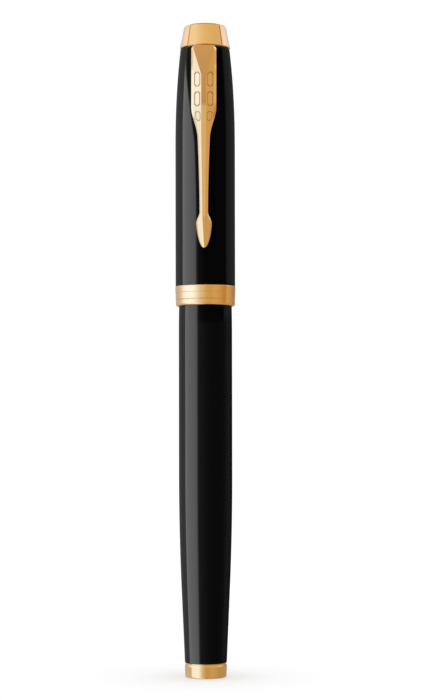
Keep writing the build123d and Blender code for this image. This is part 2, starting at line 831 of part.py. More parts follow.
# ================================================================ clip
# Pressed gilt clip. Its side profile is a bent strip that starts at the notch in the shell, stands
# clear of the cap and dips to it at the pad. Its front outline is a plate, a stem and a leaf.
clip_back = clip_face - clip_thickness
clip_root_y = cap_top_radius + clip_back_gap
plate_base = clip_top - clip_plate_length
stem_top = clip_top - clip_shoulder_length
pad_top = clip_tip + clip_pad_length
contact_height = clip_tip + clip_contact_rise
tip_back = cap_radius + clip_contact_gap + clip_thickness / 3
with BuildPart() as clip:
    with BuildSketch(Plane.YZ) as side:
        Polygon(
            (-clip_root_y, clip_top),
            (-clip_top_face, clip_top),
            (-clip_face, plate_base),
            (-clip_face, pad_top),
            (-tip_back - clip_tip_thickness, clip_tip),
            (-tip_back, clip_tip),
            (-cap_radius - clip_contact_gap, contact_height),
            (-clip_back, pad_top),
            (-clip_back, plate_base),
            (-clip_root_y, clip_root_base),
            align=None,
        )
        fillet(nearest(side, -clip_top_face, clip_top), clip_root_bend)
        fillet(nearest(side, -clip_face, plate_base), clip_plate_bend)
        fillet(nearest(side, -clip_face, pad_top), clip_pad_bend)
        fillet(nearest(side, -clip_back, pad_top), clip_pad_bend)
    extrude(amount=clip_half_width, both=True)
    with BuildSketch(Plane.XZ):
        with BuildLine():
            Line((0, clip_top), (clip_half_width - clip_corner, clip_top))
            TangentArc(
                (clip_half_width - clip_corner, clip_top),
                (clip_half_width, clip_top - clip_corner),
                tangent=(1, 0),
            )
            Line((clip_half_width, clip_top - clip_corner), (clip_half_width, plate_base))
            Spline(
                (clip_half_width, plate_base),
                (clip_stem_top_half_width, stem_top),
                tangents=((0, -1), (0, -1)),
            )
            Line((clip_stem_top_half_width, stem_top), (clip_stem_end_half_width, pad_top))
            Spline(
                (clip_stem_end_half_width, pad_top),
                (clip_pad_half_width, pad_top - clip_pad_shoulder),
                (0, clip_tip),
                tangents=((0, -1), (-1, 0)),
            )
            Line((0, clip_tip), (0, clip_top))
        make_face()
        mirror(about=Plane.YZ)
    extrude(amount=2 * clip_face, mode=Mode.INTERSECT)
    with BuildSketch(Plane.XY.offset(clip_root_base)):
        with Locations((0, -hook_inner)):
            Rectangle(
                2 * clip_root_half_width,
                clip_root_y + running_gap - hook_inner,
                align=(Align.CENTER, Align.MAX),
            )
    extrude(amount=clip_root_thickness)
    with BuildSketch(Plane.XY.offset(clip_root_base - clip_hook_depth)):
        with Locations((0, -hook_inner)):
            Rectangle(2 * clip_hook_half_width, clip_hook_thickness, align=(Align.CENTER, Align.MAX))
    extrude(amount=clip_hook_depth)
clip.part.label = "clip"
export_step(clip.part, "parts/clip.step")
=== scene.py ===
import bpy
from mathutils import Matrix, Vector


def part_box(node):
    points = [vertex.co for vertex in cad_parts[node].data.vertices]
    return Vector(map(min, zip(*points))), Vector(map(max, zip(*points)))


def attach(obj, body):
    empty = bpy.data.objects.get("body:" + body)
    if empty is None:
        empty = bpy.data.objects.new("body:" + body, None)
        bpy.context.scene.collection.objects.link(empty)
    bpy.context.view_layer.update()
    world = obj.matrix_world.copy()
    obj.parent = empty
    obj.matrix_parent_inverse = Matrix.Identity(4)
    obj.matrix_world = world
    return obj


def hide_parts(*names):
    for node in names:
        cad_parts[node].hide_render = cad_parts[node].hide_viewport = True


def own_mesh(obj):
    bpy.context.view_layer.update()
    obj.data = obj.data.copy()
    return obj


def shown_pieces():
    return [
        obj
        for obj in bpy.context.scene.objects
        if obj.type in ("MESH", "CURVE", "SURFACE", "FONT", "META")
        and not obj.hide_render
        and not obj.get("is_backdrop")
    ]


bl_info = {
    "name": "Lacquered Rollerball Pen",
    "version": (1, 0, 0),
    "blender": (4, 5, 0),
    "location": "3D View > Sidebar > Pen",
    "description": "Builds a capped rollerball pen around its packed frame, piece by piece, with a small studio",
    "category": "Object",
}

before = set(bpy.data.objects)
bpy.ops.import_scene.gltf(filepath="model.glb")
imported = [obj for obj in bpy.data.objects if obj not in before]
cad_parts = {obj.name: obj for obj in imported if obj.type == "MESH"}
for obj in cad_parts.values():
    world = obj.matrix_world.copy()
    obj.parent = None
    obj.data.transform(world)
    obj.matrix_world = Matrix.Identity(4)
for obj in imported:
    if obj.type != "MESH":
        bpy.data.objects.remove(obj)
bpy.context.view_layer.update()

import math

import bmesh
import bpy
from bpy.props import FloatProperty, FloatVectorProperty, IntProperty, PointerProperty
from mathutils import Matrix, Vector

MM = 0.001


# ------------------------------------------------------------------ places from the frame
class Extent:
    """How far a CAD node reaches at rest, in millimetres: its lowest and highest height and its radius."""

    def __init__(self, node):
        low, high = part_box(node)
        self.base = low.z / MM
        self.top = high.z / MM
        self.radius = high.x / MM
        self.front = -low.y / MM


def length(name, default, description):
    """A size property, given in millimetres."""
    return FloatProperty(name=name, default=default * MM, unit="LENGTH", precision=5, description=description)


def colour(name, default, description):
    """A colour property."""
    return FloatVectorProperty(name=name, default=default, subtype="COLOR", size=3, min=0, max=1,
                               description=description)


class PEN_PG_sizes(bpy.types.PropertyGroup):
    """Sizes that the frame doesn't hold, or that only the finished surfaces have."""

    turn_steps: IntProperty(name="Turned steps", default=144, min=24, description="Faces round a turned piece")
    straight_top: length("Barrel straight top", 72.0, "Height at which the barrel starts to close to its mouth")
    taper_height: length("Barrel taper height", 43.0, "Height at which the barrel starts to narrow downwards")
    arc_length: length("Barrel arc length", 24.0, "Length of the arc between the straight and the taper")
    end_radius: length("Barrel end radius", 4.44, "Radius of the lacquered barrel at its end")
    mouth_radius: length("Barrel mouth radius", 5.6, "Radius of the lacquered barrel at its mouth")
    spring_wire: length("Spring wire", 0.18, "Radius of the refill spring's wire")
    spring_turns: FloatProperty(name="Spring turns", default=5.5, description="Turns of the refill spring")
    refill_travel: length("Refill travel", 1.2, "How far the refill can be pushed in against its spring")
    cap_taper_height: length("Cap taper height", 112.0, "Height at which the cap starts to narrow upwards")
    cap_top_radius: length("Cap top radius", 5.22, "Radius of the cap shell under the crown")
    cap_edge: length("Cap top edge", 0.35, "Rounding of the cap shell's top edge")
    crown_top_radius: length("Crown top radius", 4.42, "Radius of the crown's top")
    crown_edge: length("Crown edge", 0.42, "Rounding of the crown's top edge")
    band_groove: length("Band groove", 0.1, "Depth of the turned groove in the cap band")
    band_lip: length("Band lip round", 0.35, "Rounding of the cap band's lower edge")
    clip_half_width: length("Clip half width", 2.62, "Half the width of the clip's plate")
    clip_ridge: length("Clip ridge", 0.5, "Half the width of the flat ridge along the clip")
    clip_facet: FloatProperty(name="Clip facet angle", default=math.radians(17), subtype="ANGLE",
                              description="How far the clip's side facets slope back")
    engraving_depth: length("Engraving depth", 0.1, "Depth of the engraved lines in the clip's plate")


class PEN_PG_finishes(bpy.types.PropertyGroup):
    """Colours of the pen's finishes."""

    lacquer: colour("Lacquer", (0.0006, 0.0006, 0.0007), "Black of the gloss lacquer")
    gilt: colour("Gilt", (0.95, 0.63, 0.24), "Colour of the polished gilding")
    gilt_deep: colour("Deep gilt", (0.90, 0.55, 0.18), "Colour of the gilding where it is thinner")
    brass: colour("Brass", (0.72, 0.50, 0.20), "Colour of the turned brass inside")
    steel: colour("Steel", (0.56, 0.57, 0.58), "Colour of the steel pieces")
    grip: colour("Grip", (0.006, 0.006, 0.0065), "Black of the moulded grip")
    liner: colour("Liner", (0.035, 0.035, 0.038), "Grey of the moulded inner pieces")
    fibre: colour("Fibre", (0.012, 0.014, 0.05), "Colour of the fibre that holds the ink")


# ------------------------------------------------------------------ shader values as expressions
class Value:
    """A shader socket, on which Python arithmetic adds Math nodes."""

    def __init__(self, shading, socket):
        self.shading = shading
        self.socket = socket

    def math(self, operation, *others, first=None):
        """A Math node on this value and others; first puts another value before this one."""
        values = (first, self, *others) if first is not None else (self, *others)
        return self.shading.node("ShaderNodeMath", {"operation": operation}, dict(enumerate(values)))

    def __add__(self, other):
        return self.math("ADD", other)

    __radd__ = __add__

    def __sub__(self, other):
        return self.math("SUBTRACT", other)

    def __rsub__(self, other):
        return self.math("SUBTRACT", first=other)

    def __mul__(self, other):
        return self.math("MULTIPLY", other)

    __rmul__ = __mul__

    def __truediv__(self, other):
        return self.math("DIVIDE", other)

    def between(self, low, high):
        """Rises smoothly from 0 to 1 as this value goes from low to high; both are numbers."""
        span = {"interpolation_type": "SMOOTHSTEP", "clamp": True}
        return self.shading.node("ShaderNodeMapRange", span, {"Value": self, "From Min": low, "From Max": high})


class Shading:
    """The node tree of a material or a light under construction: one method adds every node."""

    def __init__(self, tree):
        self.tree = tree
        self.tree.nodes.clear()

    def node(self, kind, settings=None, sockets=None, output=0):
        """Adds a node with its settings, then the values or links of its sockets."""
        made = self.tree.nodes.new(kind)
        for name, value in (settings or {}).items():
            if name == "stops":
                self.set_stops(made.color_ramp, value)
            else:
                setattr(made, name, value)
        for name, value in (sockets or {}).items():
            if isinstance(value, Value):
                self.tree.links.new(value.socket, made.inputs[name])
            else:
                made.inputs[name].default_value = value
        return Value(self, made.outputs[output]) if made.outputs else None

    @staticmethod
    def set_stops(ramp, stops):
        """Gives a colour ramp its stops, each a position and a grey or a colour."""
        while len(ramp.elements) < len(stops):
            ramp.elements.new(1.0)
        for element, (position, value) in zip(ramp.elements, stops):
            element.position = position
            shade = (value,) * 3 if isinstance(value, (int, float)) else tuple(value)
            element.color = (*shade, 1.0)

    def stretched(self, x=1.0, y=1.0, z=1.0):
        """Object coordinates, scaled along each axis."""
        place = self.node("ShaderNodeTexCoord", output="Object")
        return self.node("ShaderNodeMapping", {}, {"Vector": place, "Scale": (x, y, z)})

    def noise(self, scale, detail=2.0, roughness=0.5):
        """Noise from 0 to 1; a scale of three numbers stretches it along the axes."""
        along = scale if isinstance(scale, tuple) else (scale,) * 3
        settings = {"Vector": self.stretched(*along), "Scale": 1.0, "Detail": detail, "Roughness": roughness}
        return self.node("ShaderNodeTexNoise", {}, settings)

    def blend(self, factor, first, second):
        """Two colours mixed by a factor; either may be a tuple or a value."""
        first, second = (c if isinstance(c, Value) else (*c, 1.0) for c in (first, second))
        return self.node("ShaderNodeMix", {"data_type": "RGBA"}, {0: factor, 6: first, 7: second}, output=2)

    def bump(self, height, distance):
        """A normal from a height of 0 to 1 that stands for a distance in metres."""
        return self.node("ShaderNodeBump", {}, {"Height": height, "Distance": distance})


class Finish(Shading):
    """A material under construction."""

    def __init__(self, name):
        self.material = bpy.data.materials.new(name)
        self.material.use_nodes = True
        super().__init__(self.material.node_tree)

    def surface(self, **sockets):
        """Closes the material with a Principled surface; names use underscores for spaces."""
        named = {name.replace("_", " "): value for name, value in sockets.items()}
        shader = self.node("ShaderNodeBsdfPrincipled", {}, named)
        self.node("ShaderNodeOutputMaterial", {}, {"Surface": shader})
        return self.material


def rgb(value):
    """A colour property as a plain tuple."""
    return tuple(value[:3])


def lacquer_finish(colours):
    """Deep black gloss lacquer with a faint cloudiness under its clear coat."""
    make = Finish("lacquer_gloss")
    cloud = make.noise(260.0, 3.0)
    dust = make.noise(5200.0, 1.0)
    dark = rgb(colours.lacquer)
    return make.surface(
        Base_Color=make.blend(cloud, dark, tuple(1.6 * part for part in dark)),
        Roughness=0.34 + 0.1 * cloud + 0.04 * dust,
        Specular_IOR_Level=0.03,
        Coat_Weight=1.0,
        Coat_Roughness=0.02,
        Coat_IOR=1.5,
    )


def gilt_finish(name, first, second, grain, depth, roughness):
    """Gilding of two tones. The grain gives its fine polishing lines their width along each axis."""
    make = Finish(name)
    lines = make.noise(grain, 4.0, 0.6)
    cloud = make.noise(420.0, 3.0)
    tone = cloud * 0.6 + lines * 0.4 - 0.1
    return make.surface(
        Base_Color=make.blend(tone, first, second),
        Metallic=1.0,
        Roughness=roughness + 0.08 * (lines - 0.5) + 0.04 * (cloud - 0.5),
        Normal=make.bump(lines, depth),
    )


def turned_metal_finish(name, first, second, roughness):
    """Bare turned metal with fine tool rings round the axis."""
    make = Finish(name)
    rings = make.noise((600.0, 600.0, 26000.0), 3.0)
    stain = make.noise(350.0, 4.0)
    return make.surface(
        Base_Color=make.blend(stain, first, second),
        Metallic=1.0,
        Roughness=roughness + 0.14 * (rings - 0.5) + 0.08 * (stain - 0.5),
        Normal=make.bump(rings, 0.000004),
    )


def moulded_finish(name, shade, roughness, coat=0.0):
    """Moulded plastic with a faint spark-eroded texture and flow marks."""
    make = Finish(name)
    texture = make.noise(6500.0)
    flow = make.noise((300.0, 300.0, 60.0), 3.0)
    lighter = tuple(min(1.0, part * 1.6 + 0.001) for part in shade)
    return make.surface(
        Base_Color=make.blend(flow, shade, lighter),
        Roughness=roughness + 0.1 * (flow - 0.5) + 0.05 * (texture - 0.5),
        Coat_Weight=coat,
        Coat_Roughness=0.06,
        Normal=make.bump(texture, 0.000003),
    )


def fibre_finish(colours):
    """Ink-soaked fibre, with strands along the pen."""
    make = Finish("soaked_fibre")
    strands = make.noise((9000.0, 9000.0, 300.0), 4.0)
    dark = rgb(colours.fibre)
    return make.surface(
        Base_Color=make.blend(strands, dark, tuple(part * 2.5 for part in dark)),
        Roughness=0.7 + 0.2 * (strands - 0.5),
        Normal=make.bump(strands, 0.00002),
    )


def make_finishes(colours):
    """Makes every material of the pen; each has its own name, apart from the frame's."""
    steel = rgb(colours.steel)
    brass = rgb(colours.brass)
    gilt, deep = rgb(colours.gilt), rgb(colours.gilt_deep)
    # The engraved lines' gilt is the deep gilt darkened to 62 and 42 per cent: painted shade in the grooves, on a
    # rougher finish.
    groove_shade, groove_deep_shade = (tuple(part * share for part in deep) for share in (0.62, 0.42))
    made = (
        lacquer_finish(colours),
        gilt_finish("gilt_polished", gilt, deep, (900.0, 900.0, 900.0), 0.0000006, 0.11),
        gilt_finish("gilt_brushed", gilt, deep, (200.0, 200.0, 22000.0), 0.0000025, 0.17),
        gilt_finish("gilt_stamped", gilt, deep, (7000.0, 7000.0, 400.0), 0.0000010, 0.13),
        gilt_finish("gilt_rough_painted_shade", groove_shade, groove_deep_shade, (5000.0, 5000.0, 5000.0), 0.0000030, 0.4),
        turned_metal_finish("bare_brass", brass, tuple(part * 0.7 for part in brass), 0.32),
        turned_metal_finish("bright_steel", steel, tuple(part * 0.8 for part in steel), 0.28),
        turned_metal_finish("tube_metal", (0.62, 0.62, 0.63), (0.5, 0.5, 0.51), 0.38),
        turned_metal_finish("tip_metal", (0.72, 0.70, 0.63), (0.6, 0.57, 0.5), 0.22),
        turned_metal_finish("ball_metal", (0.34, 0.34, 0.36), (0.26, 0.26, 0.28), 0.12),
        moulded_finish("grip_black", rgb(colours.grip), 0.22, coat=0.4),
        moulded_finish("inner_grey", rgb(colours.liner), 0.42),
        moulded_finish("refill_black", (0.011, 0.011, 0.013), 0.35),
        fibre_finish(colours),
    )
    return {material.name: material for material in made}


FINISHES = {}


# ------------------------------------------------------------------ outlines and turned pieces
def rounded(corners, closed, steps=6):
    """An outline from (radius, height) corners, where a third number is the rounding of that corner.

    A point just before and after each arc keeps the shading of the straight runs true."""
    outline = []
    count = len(corners)
    for i, corner in enumerate(corners):
        point = Vector(corner[:2])
        rounding = corner[2] if len(corner) > 2 else 0
        inner = closed or 0 < i < count - 1
        if not rounding or not inner:
            outline.append(point)
            continue
        back = (Vector(corners[i - 1][:2]) - point).normalized()
        ahead = (Vector(corners[(i + 1) % count][:2]) - point).normalized()
        turn = back.angle(ahead)
        reach = rounding / math.tan(turn / 2)
        centre = point + (back + ahead).normalized() * (rounding / math.sin(turn / 2))
        start, end = point + back * reach - centre, point + ahead * reach - centre
        sweep = start.angle_signed(end)
        arc = [centre + Matrix.Rotation(-sweep * k / steps, 2) @ start for k in range(steps + 1)]
        outline += [arc[0] + back * 0.3 * rounding, *arc, arc[-1] + ahead * 0.3 * rounding]
    return outline


def bow(start, middle, end, steps=14):
    """Points of the smooth curve through three (radius, height) points."""
    points = []
    for k in range(steps + 1):
        height = start[1] + (end[1] - start[1]) * k / steps
        a = (height - middle[1]) * (height - end[1]) / ((start[1] - middle[1]) * (start[1] - end[1]))
        b = (height - start[1]) * (height - end[1]) / ((middle[1] - start[1]) * (middle[1] - end[1]))
        c = (height - start[1]) * (height - middle[1]) / ((end[1] - start[1]) * (end[1] - middle[1]))
        points.append((a * start[0] + b * middle[0] + c * end[0], height))
    return points


def turn_in(radius, height, end_radius, end_height, steps=16, power=2.0):
    """Points of an arc that leaves a straight cylinder smoothly and ends at another radius."""
    return [
        (radius + (end_radius - radius) * (k / steps) ** power, height + (end_height - height) * k / steps)
        for k in range(steps + 1)
    ]


def spun(bm, outline, closed, turn=2 * math.pi, start=0.0):
    """Spins an outline of (radius, height) points in millimetres about the pen's axis."""
    aim = Matrix.Rotation(start, 3, "Z")
    verts = [bm.verts.new(aim @ Vector((radius * MM, 0, height * MM))) for radius, height in outline]
    pairs = list(zip(verts, verts[1:])) + ([(verts[-1], verts[0])] if closed else [])
    edges = [bm.edges.new(pair) for pair in pairs]
    full = abs(turn - 2 * math.pi) < 1e-6
    steps = max(8, round(bpy.context.scene.pen_sizes.turn_steps * turn / (2 * math.pi)))
    spin = bmesh.ops.spin(bm, geom=verts + edges, cent=(0, 0, 0), axis=(0, 0, 1), angle=turn,
                          steps=steps, use_merge=full)
    if not full and closed:
        ends = [[v for v in spin["geom_last"] if isinstance(v, bmesh.types.BMVert)], verts]
        for loop in ends:
            bmesh.ops.contextual_create(bm, geom=[e for e in bm.edges if set(e.verts) <= set(loop)])
    bmesh.ops.remove_doubles(bm, verts=bm.verts, dist=1e-8)
    bmesh.ops.recalc_face_normals(bm, faces=bm.faces)


def settled(name, bm, body, material, replaces=(), sharp=math.radians(28)):
    """Turns a bmesh into a finished piece that rides on its body and stands for its CAD nodes."""
    mesh = bpy.data.meshes.new(name)
    for face in bm.faces:
        face.smooth = True
    for edge in bm.edges:
        if len(edge.link_faces) == 2 and edge.calc_face_angle(0) > sharp:
            edge.smooth = False
    bm.to_mesh(mesh)
    bm.free()
    piece = bpy.data.objects.new(name, mesh)
    bpy.context.scene.collection.objects.link(piece)
    mesh.materials.append(FINISHES[material])
    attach(piece, body)
    if replaces:
        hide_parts(*replaces)
    return piece


def turned(name, corners, body, material, node, closed=True):
    """A piece turned from an outline of corners, which replaces one CAD node."""
    bm = bmesh.new()
    spun(bm, rounded(corners, closed), closed)
    return settled(name, bm, body, material, (node,))


class PEN_OT_finishes(bpy.types.Operator):
    """Makes the pen's materials, which every other step uses."""

    bl_idname = "pen.finishes"
    bl_label = "Finishes"

    def execute(self, context):
        FINISHES.update(make_finishes(context.scene.pen_finishes))
        return {"FINISHED"}


# ------------------------------------------------------------------ the barrel
class PEN_OT_barrel(bpy.types.Operator):
    """Makes the lacquered barrel tube."""

    bl_idname = "pen.barrel"
    bl_label = "Lacquered barrel"

    def execute(self, context):
        sizes = context.scene.pen_sizes
        shell, bushing = Extent("barrel_shell"), Extent("barrel_bushing")
        taper, arc_end = sizes.taper_height / MM, (sizes.taper_height - sizes.arc_length) / MM
        straight, end_radius = sizes.straight_top / MM, sizes.end_radius / MM
        mouth_radius = sizes.mouth_radius / MM
        line = arc_end - shell.base
        drop = (shell.radius - end_radius) * (taper - arc_end) / (taper - arc_end + 2 * line)
        bore = 3.73
        corners = [
            (bore, shell.base, 0.1),
            (end_radius, shell.base, 0.22),
            *reversed(turn_in(shell.radius, taper, shell.radius - drop, arc_end, 20)),
            *turn_in(shell.radius, straight, mouth_radius, shell.top - 0.2, 6),
            (mouth_radius, shell.top, 0.12),
            (bushing.radius, shell.top, 0.08),
            (bushing.radius, taper),
            (bore, shell.base + 5.8),
        ]
        turned("lacquered_barrel", corners, "barrel_body", "lacquer_gloss", "barrel_shell")
        return {"FINISHED"}


class PEN_OT_barrel_end(bpy.types.Operator):
    """Makes the gilt end piece with its bevelled rim and dark groove."""

    bl_idname = "pen.barrel_end"
    bl_label = "Gilt end piece"

    def execute(self, context):
        cap, shell = Extent("barrel_end_cap"), Extent("barrel_shell")
        rim = shell.base - 0.24
        bore, cup, floor = 3.73, 2.88, 1.6
        corners = [
            (0, 0),
            (cap.radius - 0.1, 0, 0.34),
            (cap.radius, rim - 0.36, 0.3),
            (cap.radius - 0.1, rim, 0.05),
            (cap.radius - 0.22, rim),
            (cap.radius - 0.22, shell.base),
            (bore, shell.base),
            (bore, cap.top, 0.25),
            (cup, cap.top),
            (cup, floor),
            (0, floor),
        ]
        turned("gilt_end_piece", corners, "barrel_body", "gilt_polished", "barrel_end_cap",
               closed=False)
        return {"FINISHED"}


class PEN_OT_trim_ring(bpy.types.Operator):
    """Makes the gilt ring between the barrel and the grip."""

    bl_idname = "pen.trim_ring"
    bl_label = "Trim ring"

    def execute(self, context):
        ring, bushing = Extent("trim_ring"), Extent("barrel_bushing")
        bore = bushing.radius - 0.05
        corners = [
            (bore, ring.base, 0.06),
            (ring.radius, ring.base, 0.22),
            (ring.radius, ring.top, 0.22),
            (bore, ring.top, 0.06),
        ]
        turned("gilt_trim_ring", corners, "ring_body", "gilt_polished", "trim_ring")
        return {"FINISHED"}


# ------------------------------------------------------------------ the gripping section
class PEN_OT_section(bpy.types.Operator):
    """Makes the waisted grip, the gilt nose cone and the split clutch ring."""

    bl_idname = "pen.section"
    bl_label = "Grip, nose and clutch ring"

    def execute(self, context):
        grip, nose, clutch = Extent("grip_sleeve"), Extent("nose_cone"), Extent("clutch_ring")
        bore, front = 4.0, grip.radius - 0.22
        groove = clutch.radius - 0.5
        waist_top = clutch.top + 1.0
        waist = grip.top - (grip.top - waist_top) / 3
        corners = [
            (bore, grip.base, 0.05),
            (grip.radius, grip.base, 0.2),
            (grip.radius, clutch.base - 0.05, 0.04),
            (groove, clutch.base - 0.05),
            (groove, clutch.top + 0.05),
            (grip.radius, clutch.top + 0.05, 0.04),
            *bow((grip.radius, waist_top), (grip.radius - 0.38, waist), (front, grip.top - 0.2)),
            (front, grip.top, 0.15),
            (bore, grip.top, 0.05),
        ]
        turned("moulded_grip", corners, "section_body", "grip_black", "grip_sleeve")
        edge, hole, spigot = 1.9, 1.6, 3.1
        middle = ((nose.radius + edge) / 2 + 0.35, (nose.base + nose.top) / 2)
        corners = [
            (spigot, nose.base),
            (nose.radius, nose.base, 0.12),
            *bow((nose.radius, nose.base + 0.15), middle, (edge, nose.top - 0.12))[1:],
            (edge - 0.08, nose.top, 0.05),
            (hole, nose.top, 0.06),
            (hole, nose.base + 2.5),
            (spigot, nose.base + 2.5),
        ]
        turned("gilt_nose_cone", corners, "section_body", "gilt_polished", "nose_cone")
        bm = bmesh.new()
        inner = groove + 0.05
        corners = [
            (inner, clutch.base, 0.04),
            (clutch.radius, clutch.base, 0.18),
            (clutch.radius, clutch.top, 0.18),
            (inner, clutch.top, 0.04),
        ]
        half_gap = math.asin(0.5 / clutch.radius)
        spun(bm, rounded(corners, True), True, 2 * math.pi - 2 * half_gap, math.pi / 2 + half_gap)
        settled("clutch_spring_ring", bm, "clutch_body", "bright_steel", ("clutch_ring",))
        return {"FINISHED"}


# ------------------------------------------------------------------ the refill
class PEN_OT_refill(bpy.types.Operator):
    """Makes the refill's tube, plug, nose and writing tip."""

    bl_idname = "pen.refill"
    bl_label = "Refill and tip"

    def execute(self, context):
        tube, plug = Extent("refill_tube"), Extent("refill_end_plug")
        nose, tip, ball = Extent("refill_nose"), Extent("tip_housing"), Extent("writing_ball")
        wall = 0.2
        turned("ink_tube", [
            (tube.radius - wall, tube.base),
            (tube.radius, tube.base, 0.08),
            (tube.radius, tube.top, 0.08),
            (tube.radius - wall, tube.top),
        ], "refill_body", "tube_metal", "refill_tube")
        seat = plug.base + 0.03
        turned("refill_tail_plug", [
            (0, seat),
            (plug.radius, seat, 0.3),
            (plug.radius, tube.base),
            (plug.radius - wall, tube.base),
            (plug.radius - wall, plug.top, 0.2),
            (0, plug.top),
        ], "refill_body", "refill_black", "refill_end_plug", closed=False)
        shoulder, neck, front = tube.top + 1.0, 2.0, 1.5
        neck_top = nose.top - 3.35
        turned("refill_front", [
            (0.6, nose.base),
            (tube.radius - wall, nose.base, 0.2),
            (tube.radius - wall, tube.top),
            (tube.radius, tube.top),
            (tube.radius, shoulder, 0.2),
            (neck, shoulder),
            (neck, neck_top, 0.1),
            (front, neck_top + 0.4, 0.1),
            (front, nose.top, 0.12),
            (tip.radius, nose.top),
            (tip.radius, tip.base),
            (0.6, tip.base),
        ], "refill_body", "refill_black", "refill_nose")
        middle = (ball.base + ball.top) / 2
        rim = 0.43
        turned("nickel_silver_tip", [
            (0, tip.base),
            (tip.radius, tip.base, 0.05),
            (tip.radius, nose.top + 0.3, 0.08),
            (0.8, nose.top + 0.7, 0.1),
            (0.8, middle - 1.6, 0.15),
            (rim, tip.top, 0.03),
            (0.33, tip.top),
            (0.365, middle),
            (0.2, middle - 0.31),
            (0, middle - 0.33),
        ], "refill_body", "tip_metal", "tip_housing", closed=False)
        bm = bmesh.new()
        place = Matrix.Translation((0, 0, middle * MM))
        bmesh.ops.create_uvsphere(bm, u_segments=32, v_segments=20, radius=ball.radius * MM, matrix=place)
        settled("carbide_ball", bm, "ball_body", "ball_metal", ("writing_ball",))
        return {"FINISHED"}


# ------------------------------------------------------------------ the cap
def cut_notch(bm, half_width, base):
    """Cuts the clip's notch through the front of the cap shell's top edge and closes its walls."""
    planes = (((half_width, 0, 0), (1, 0, 0)), ((-half_width, 0, 0), (1, 0, 0)), ((0, 0, base), (0, 0, 1)))
    for point, normal in planes:
        near = [f for f in bm.faces if f.calc_center_median().y < 0 and f.calc_center_median().z > base - 0.002]
        geom = set(near) | {e for f in near for e in f.edges} | {v for f in near for v in f.verts}
        bmesh.ops.bisect_plane(bm, geom=list(geom), plane_co=point, plane_no=normal)
    inside = []
    for face in bm.faces:
        middle = face.calc_center_median()
        if abs(middle.x) < half_width and middle.y < 0 and middle.z > base:
            inside.append(face)
    bmesh.ops.delete(bm, geom=inside, context="FACES")
    rim = [e for e in bm.edges if e.is_boundary]
    floor = [e for e in rim if all(abs(v.co.z - base) < 1e-7 for v in e.verts)]
    bmesh.ops.bridge_loops(bm, edges=floor)
    bmesh.ops.holes_fill(bm, edges=[e for e in bm.edges if e.is_boundary], sides=0)
    bmesh.ops.recalc_face_normals(bm, faces=bm.faces)


class PEN_OT_spring(bpy.types.Operator):
    """Makes the coil spring behind the refill."""

    bl_idname = "pen.spring"
    bl_label = "Refill spring"

    def execute(self, context):
        sizes = context.scene.pen_sizes
        spring = Extent("refill_spring")
        wire, turns = sizes.spring_wire / MM, sizes.spring_turns
        coil, low, high = spring.radius - wire, spring.base + wire, spring.top - wire
        steps = round(turns * 36)
        section = Matrix.Translation(Vector((coil, 0, low)) * MM) @ Matrix.Rotation(math.pi / 2, 4, "X")
        bm = bmesh.new()
        bmesh.ops.create_circle(bm, segments=14, radius=wire * MM, matrix=section)
        bmesh.ops.spin(bm, geom=list(bm.verts) + list(bm.edges), cent=(0, 0, 0), axis=(0, 0, 1),
                       dvec=(0, 0, (high - low) * MM / steps), angle=turns * 2 * math.pi, steps=steps)
        bmesh.ops.holes_fill(bm, edges=[e for e in bm.edges if e.is_boundary], sides=0)
        bmesh.ops.recalc_face_normals(bm, faces=bm.faces)
        piece = settled("refill_coil_spring", bm, "barrel_body", "bright_steel",
                        ("refill_spring",), math.radians(60))
        pressed = 1 - sizes.refill_travel / MM / (spring.top - spring.base)
        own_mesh(piece)
        return {"FINISHED"}


class PEN_OT_cap_shell(bpy.types.Operator):
    """Makes the lacquered cap tube, arched in to the crown and notched for the clip."""

    bl_idname = "pen.cap_shell"
    bl_label = "Lacquered cap"

    def execute(self, context):
        sizes = context.scene.pen_sizes
        shell, plug = Extent("cap_shell"), Extent("cap_plug")
        taper, top_radius = sizes.cap_taper_height / MM, sizes.cap_top_radius / MM
        bore = shell.radius - 0.48
        corners = [
            (bore, shell.base),
            (shell.radius, shell.base, 0.05),
            *turn_in(shell.radius, taper, top_radius, shell.top, 24, 2.2)[:-1],
            (top_radius, shell.top, sizes.cap_edge / MM * 0.9),
            (plug.radius, shell.top),
            (plug.radius, plug.base),
            (bore, taper),
        ]
        bm = bmesh.new()
        spun(bm, rounded(corners, True), True)
        cut_notch(bm, 2.25 * MM, (plug.top - 0.9) * MM)
        settled("lacquered_cap", bm, "cap_body", "lacquer_gloss", ("cap_shell",))
        return {"FINISHED"}


class PEN_OT_cap_band(bpy.types.Operator):
    """Makes the brushed gilt band with its two turned grooves."""

    bl_idname = "pen.cap_band"
    bl_label = "Gilt cap band"

    def execute(self, context):
        sizes = context.scene.pen_sizes
        band, shell = Extent("cap_band"), Extent("cap_shell")
        low, high = band.base + 1.3, band.base + 2.8
        deep = sizes.band_groove / MM
        lip, middle = shell.radius - 0.04, shell.radius
        bore, spigot = 5.75, 5.55
        corners = [
            (bore, band.base, 0.06),
            (lip, band.base, sizes.band_lip / MM),
            (lip, low - 0.11, 0.04),
            (lip - deep, low - 0.04, 0.02),
            (lip - deep, low + 0.04, 0.02),
            (middle, low + 0.11, 0.04),
            (middle, high - 0.04, 0.02),
            (middle - 0.04, high, 0.02),
            (band.radius, high + 0.05, 0.03),
            (band.radius, shell.base, 0.14),
            (bore + 0.1, shell.base),
            (bore + 0.1, band.top),
            (spigot, band.top),
            (spigot, band.base + 0.8),
            (bore, band.base + 0.8),
        ]
        turned("gilt_cap_band", corners, "cap_body", "gilt_brushed", "cap_band")
        return {"FINISHED"}


